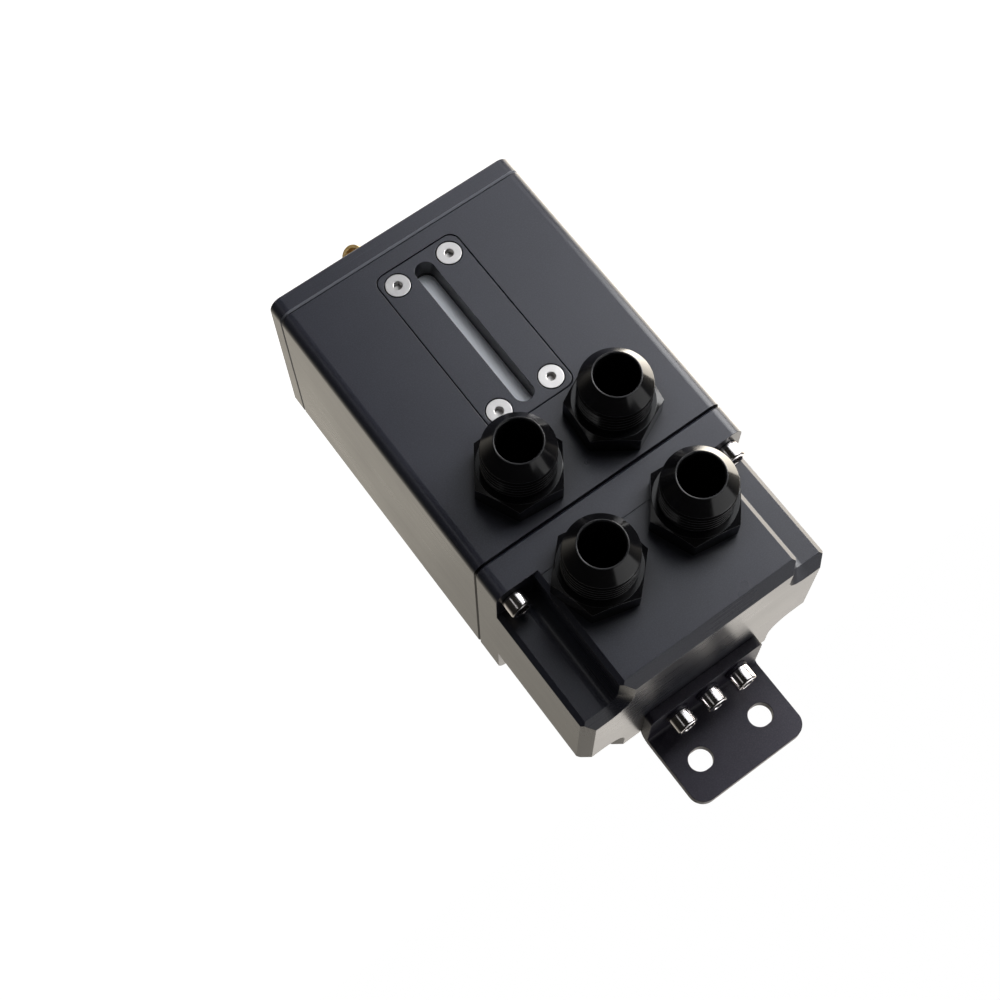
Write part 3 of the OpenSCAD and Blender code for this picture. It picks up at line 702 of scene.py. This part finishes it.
def make_all_screws():
    """Each set: its outline, the radius of its heads in the solids, its grid and its sockets' turns."""
    sets = (
        ("lid_screws", "cap_screws_lid", "polished_steel",
         cap_screw_rows(30.0), CAP_R, TO_TOP, 2, 2, (8, 21, 40, 13)),
        ("bracket_screws", "cap_screws_bracket", "polished_steel",
         cap_screw_rows(14.0), CAP_R, TO_TOP, 3, 1, (12, 47, 30)),
        ("sight_screws", "flat_screws_sight", "zinc_steel",
         flat_screw_rows(3.88, 2.0, 12.6, 2.5), 4.0, TO_FRONT, 2, 2, (5, 33, 50, 18)),
        ("bottom_screws", "flat_screws_bottom", "zinc_steel",
         flat_screw_rows(4.6, 2.5, 18.0, 3.0), 4.6, TO_BOTTOM, 2, 2, (3, 25, 41, 12)),
    )
    for node, name, slot, rows, head_r, axes, columns, lines, socket_turns in sets:
        places = screw_places(node, head_r, axes, columns, lines)
        make_screws(node, name, slot, rows, places, axes, socket_turns)


def add_camera():
    data = bpy.data.cameras.new("camera")
    data.sensor_width = CAMERA_SENSOR
    data.lens = CAMERA_LENS
    data.clip_start = CLIP_START
    data.clip_end = CLIP_END
    camera = bpy.data.objects.new("camera", data)
    back = CAMERA_RIGHT.cross(CAMERA_UP).normalized()
    right = CAMERA_UP.cross(back).normalized()
    turn = Matrix((right, back.cross(right), back)).transposed()
    camera.matrix_world = Matrix.Translation(CAMERA_PLACE) @ turn.to_4x4()
    bpy.context.scene.collection.objects.link(camera)
    bpy.context.scene.camera = camera


def add_world():
    """White to the camera and through glass, a dim fill for matt colour, and two sides for gloss."""
    world = bpy.data.worlds.new("studio")
    bpy.context.scene.world = world
    world.use_nodes = True
    world.node_tree.nodes.clear()
    t = Tree(world.node_tree)
    rays = t.add("ShaderNodeLightPath").outputs
    direction = t.add("ShaderNodeTexCoord").outputs["Generated"]
    height = t.add("ShaderNodeSeparateXYZ", {"Vector": direction}).outputs["Z"]
    side = t.spread(t.dot(direction, DARK_SIDE), 1.0, DARK_LEVEL, DARK_FROM, DARK_TO, "SMOOTHSTEP")
    seen = t.maths("MULTIPLY", side, t.spread(height, 1.0, HIGH_LEVEL, LOW_Z, HIGH_Z))
    level = t.mix(rays["Is Glossy Ray"], FILL_LEVEL, seen)
    clear = t.maths("MAXIMUM", rays["Is Camera Ray"], rays["Is Transmission Ray"])
    links = {
        "Color": t.blend(rays["Is Glossy Ray"], WHITE, STUDIO_TINT),
        "Strength": t.mix(clear, level, 1.0),
    }
    background = t.add("ShaderNodeBackground", links)
    t.add("ShaderNodeOutputWorld", {"Surface": background.outputs[0]})


def add_floor():
    """A pale floor that shows white to the camera, and that gives no light to the can."""
    bm = bmesh.new()
    front = [(-FLOOR_HALF, FLOOR_FRONT), (FLOOR_HALF, FLOOR_FRONT)]
    back = [(FLOOR_HALF, FLOOR_HALF), (-FLOOR_HALF, FLOOR_HALF)]
    bm.faces.new([bm.verts.new((x, y, 0.0)) for x, y in front + back])
    floor = new_piece("floor", bm, Z * FLOOR_Z)
    s = Surface("floor_paint")
    rays = s.add("ShaderNodeLightPath").outputs
    seen = s.maths("MAXIMUM", rays["Is Camera Ray"], rays["Is Glossy Ray"])
    seen = s.maths("MAXIMUM", seen, rays["Is Transmission Ray"])
    glow = s.maths("MULTIPLY", seen, FLOOR_LIFT)
    diffuse = s.add("ShaderNodeBsdfDiffuse", values={"Color": (*FLOOR_PAINT, 1.0)})
    lift = s.add("ShaderNodeEmission", {"Strength": glow}, {"Color": (*WHITE, 1.0)})
    both = s.add("ShaderNodeAddShader", {0: diffuse.outputs[0], 1: lift.outputs[0]})
    s.link(both.outputs[0], s.tree.nodes["Material Output"].inputs["Surface"])
    s.tree.nodes.remove(s.shader)
    floor.data.materials.append(s.material)
    floor.visible_diffuse = False
    floor.visible_glossy = False


def add_lamp(lamp):
    data = bpy.data.lights.new(lamp.name, "AREA")
    data.energy = lamp.watts
    data.shape = "RECTANGLE"
    data.size = lamp.width
    data.size_y = lamp.height
    data.color = lamp.colour
    piece = bpy.data.objects.new(lamp.name, data)
    direction = Vector(lamp.toward).normalized()
    piece.location = LAMP_TARGET + direction * lamp.distance
    piece.rotation_euler = direction.to_track_quat("Z", "Y").to_euler()
    piece.visible_diffuse = lamp.matt
    piece.visible_glossy = lamp.gloss
    bpy.context.scene.collection.objects.link(piece)


bpy.context.scene.view_settings.view_transform = "Standard"
add_camera()
add_world()
add_floor()
for lamp in LAMPS:
    add_lamp(lamp)

paint_nodes()
make_fitting("fitting_lower_left", 25.3)
make_fitting("fitting_lower_right", 55.0)
make_fitting("fitting_upper_left", 51.4)
make_fitting("fitting_upper_right", 45.0)
make_all_screws()
